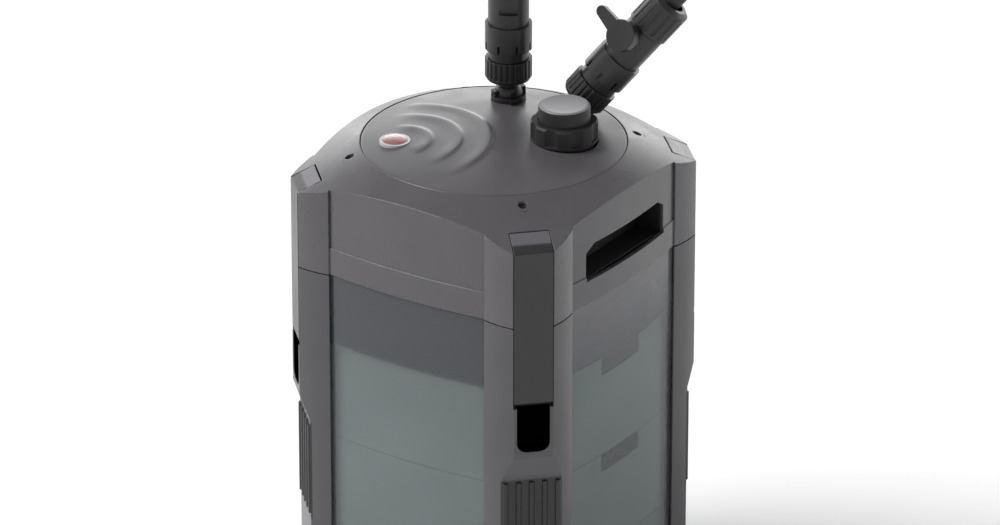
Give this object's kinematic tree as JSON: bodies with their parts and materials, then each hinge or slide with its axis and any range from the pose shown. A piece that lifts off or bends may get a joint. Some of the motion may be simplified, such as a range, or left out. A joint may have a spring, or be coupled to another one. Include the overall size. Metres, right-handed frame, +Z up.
{
  "type": "canister filter",
  "caption": "Free-standing external aquarium filter: a clear vessel of stacked media trays under a clipped-on pump head with a hand primer and two swivelling hose taps.",
  "frame": {"origin": "on the ground at the centre of the vessel's footprint", "axes": "+Z up the vessel, -Y the front face, +X the right face with a carry slot"},
  "size_m": [0.28, 0.28, 0.637],
  "materials": {
    "clear_vessel": "smoky clear, glossy",
    "shell_grey": "fine moulded grain, satin",
    "clip_grey": "fine moulded grain, satin",
    "foot_rubber": "matt",
    "tray_green": "semi-matt",
    "coarse_foam": "open-cell foam",
    "ceramic": "unglazed fired clay, dry",
    "floss": "felted fibre",
    "inner_plastic": "semi-matt",
    "seal_rubber": "smooth",
    "screw_steel": "stainless",
    "pocket_black": "satin",
    "core_steel": "stacked laminations",
    "coil_copper": "enamelled copper winding",
    "lens_red": "tinted lens",
    "button_grey": "satin",
    "tap_black": "fine moulded grain, satin",
    "tap_inner": "smooth"
  },
  "bodies": {
    "vessel": {"canister": "clear_vessel", "base_plinth": "shell_grey", "rubber_feet": "foot_rubber", "post_back_right": "shell_grey", "post_back_left": "shell_grey", "post_front_left": "shell_grey", "post_front_right": "shell_grey"},
    "lower_tray": {"tray_bottom": "tray_green", "media_coarse_foam": "coarse_foam"},
    "centre_tray": {"tray_middle": "tray_green", "media_ceramic_rings": "ceramic"},
    "upper_tray": {"tray_top": "tray_green", "media_fine_floss": "floss"},
    "head": {"head_shell": "shell_grey", "dome_cover": "shell_grey", "cover_screws": "screw_steel", "slot_liners": "pocket_black", "head_base": "inner_plastic", "head_seal": "seal_rubber", "motor_housing": "inner_plastic", "motor_core": "core_steel", "motor_coils": "coil_copper", "rotor_shaft": "ceramic", "shaft_bushes": "seal_rubber", "outlet_duct": "inner_plastic", "intake_duct": "inner_plastic", "cord_gland": "seal_rubber", "indicator_lens": "lens_red", "indicator_bezel": "pocket_black", "primer_collar": "pocket_black", "primer_cylinder": "inner_plastic", "primer_spring": "screw_steel", "clip_pins": "screw_steel"},
    "rotor": {"impeller": "inner_plastic"},
    "pump_cover": {"volute_cover": "inner_plastic"},
    "primer": {"primer_button": "button_grey", "primer_piston": "seal_rubber"},
    "clip_back_right": {"clip_back_right": "clip_grey"},
    "clip_back_left": {"clip_back_left": "clip_grey"},
    "clip_front_left": {"clip_front_left": "clip_grey"},
    "clip_front_right": {"clip_front_right": "clip_grey"},
    "outlet_swivel": {"outlet_socket": "tap_black"},
    "outlet_tap": {"outlet_elbow": "tap_black", "outlet_valve_body": "tap_black", "outlet_hose_tail": "tap_inner"},
    "outlet_nut": {"outlet_union_nut": "tap_black"},
    "outlet_sleeve": {"outlet_lock_sleeve": "tap_black"},
    "outlet_valve": {"outlet_valve_spool": "tap_inner", "outlet_valve_lever": "tap_black"},
    "outlet_clamp": {"outlet_hose_nut": "tap_black"},
    "intake_swivel": {"intake_socket": "tap_black"},
    "intake_tap": {"intake_elbow": "tap_black", "intake_valve_body": "tap_black", "intake_hose_tail": "tap_inner"},
    "intake_nut": {"intake_union_nut": "tap_black"},
    "intake_sleeve": {"intake_lock_sleeve": "tap_black"},
    "intake_valve": {"intake_valve_spool": "tap_inner", "intake_valve_lever": "tap_black"},
    "intake_clamp": {"intake_hose_nut": "tap_black"}
  },
  "joints": [
    {"name": "head_lift", "type": "slide", "parent": "vessel", "child": "head", "axis": [0, 0, 1], "range_m": [0, 0.3]},
    {"name": "upper_tray_lift", "type": "slide", "parent": "vessel", "child": "upper_tray", "axis": [0, 0, 1], "range_m": [0, 0.225]},
    {"name": "centre_tray_lift", "type": "slide", "parent": "vessel", "child": "centre_tray", "axis": [0, 0, 1], "range_m": [0, 0.15]},
    {"name": "lower_tray_lift", "type": "slide", "parent": "vessel", "child": "lower_tray", "axis": [0, 0, 1], "range_m": [0, 0.075]},
    {"name": "rotor_spin", "type": "hinge", "parent": "head", "child": "rotor", "pos_m": [-0.044, 0.004, 0.37], "axis": [0, 0, 1], "continuous": true},
    {"name": "pump_cover_twist", "type": "hinge", "parent": "head", "child": "pump_cover", "pos_m": [-0.044, 0.004, 0.331], "axis": [0, 0, 1], "range_deg": [0, 25]},
    {"name": "primer_push", "type": "slide", "parent": "head", "child": "primer", "axis": [0, 0, -1], "range_m": [0, 0.014], "stiffness_N_per_m": 250, "springref_m": -0.006, "deforming": ["primer_spring"]},
    {"name": "clip_back_right_swing", "type": "hinge", "parent": "head", "child": "clip_back_right", "pos_m": [0.12021, 0.12021, 0.436], "axis": [0.7071, -0.7071, 0], "range_deg": [0, 110]},
    {"name": "clip_back_left_swing", "type": "hinge", "parent": "head", "child": "clip_back_left", "pos_m": [-0.12021, 0.12021, 0.436], "axis": [0.7071, 0.7071, 0], "range_deg": [0, 110]},
    {"name": "clip_front_left_swing", "type": "hinge", "parent": "head", "child": "clip_front_left", "pos_m": [-0.12021, -0.12021, 0.436], "axis": [-0.7071, 0.7071, 0], "range_deg": [0, 110]},
    {"name": "clip_front_right_swing", "type": "hinge", "parent": "head", "child": "clip_front_right", "pos_m": [0.12021, -0.12021, 0.436], "axis": [-0.7071, -0.7071, 0], "range_deg": [0, 110]},
    {"name": "outlet_turn", "type": "hinge", "parent": "head", "child": "outlet_swivel", "pos_m": [-0.033, 0.072, 0.479], "axis": [0, 0, 1], "range_deg": [-30, 60]},
    {"name": "outlet_tilt", "type": "hinge", "parent": "outlet_swivel", "child": "outlet_tap", "pos_m": [-0.033, 0.072, 0.479], "axis": [-0.5, -0.866, 0], "range_deg": [0, 40]},
    {"name": "outlet_nut_turn", "type": "hinge", "parent": "outlet_tap", "child": "outlet_nut", "pos_m": [-0.033, 0.072, 0.503], "axis": [0, 0, 1], "continuous": true},
    {"name": "outlet_sleeve_turn", "type": "hinge", "parent": "outlet_tap", "child": "outlet_sleeve", "pos_m": [-0.033, 0.072, 0.534], "axis": [0, 0, 1], "range_deg": [0, 40]},
    {"name": "outlet_valve_turn", "type": "hinge", "parent": "outlet_tap", "child": "outlet_valve", "pos_m": [-0.033, 0.072, 0.57], "axis": [-0.5592, 0.829, 0], "range_deg": [0, 90]},
    {"name": "outlet_clamp_turn", "type": "hinge", "parent": "outlet_tap", "child": "outlet_clamp", "pos_m": [-0.033, 0.072, 0.599], "axis": [0, 0, 1], "continuous": true},
    {"name": "intake_turn", "type": "hinge", "parent": "head", "child": "intake_swivel", "pos_m": [0.033, 0.072, 0.479], "axis": [0, 0, 1], "range_deg": [-15, 90]},
    {"name": "intake_tilt", "type": "hinge", "parent": "intake_swivel", "child": "intake_tap", "pos_m": [0.033, 0.072, 0.479], "axis": [-0.5, 0.866, 0], "range_deg": [-40, 0]},
    {"name": "intake_nut_turn", "type": "hinge", "parent": "intake_tap", "child": "intake_nut", "pos_m": [0.04636, 0.07971, 0.49739], "axis": [0.5567, 0.3214, 0.766], "continuous": true},
    {"name": "intake_sleeve_turn", "type": "hinge", "parent": "intake_tap", "child": "intake_sleeve", "pos_m": [0.06362, 0.08968, 0.52113], "axis": [0.5567, 0.3214, 0.766], "range_deg": [0, 40]},
    {"name": "intake_valve_turn", "type": "hinge", "parent": "intake_tap", "child": "intake_valve", "pos_m": [0.08366, 0.10125, 0.54871], "axis": [-0.0144, -0.9182, 0.3957], "range_deg": [0, 90]},
    {"name": "intake_clamp_turn", "type": "hinge", "parent": "intake_tap", "child": "intake_clamp", "pos_m": [0.0998, 0.11057, 0.57093], "axis": [0.5567, 0.3214, 0.766], "continuous": true}
  ],
  "couplings": [
    {"joint": "upper_tray_lift", "follows": "head_lift", "ratio": 0.75},
    {"joint": "centre_tray_lift", "follows": "head_lift", "ratio": 0.5},
    {"joint": "lower_tray_lift", "follows": "head_lift", "ratio": 0.25}
  ]
}
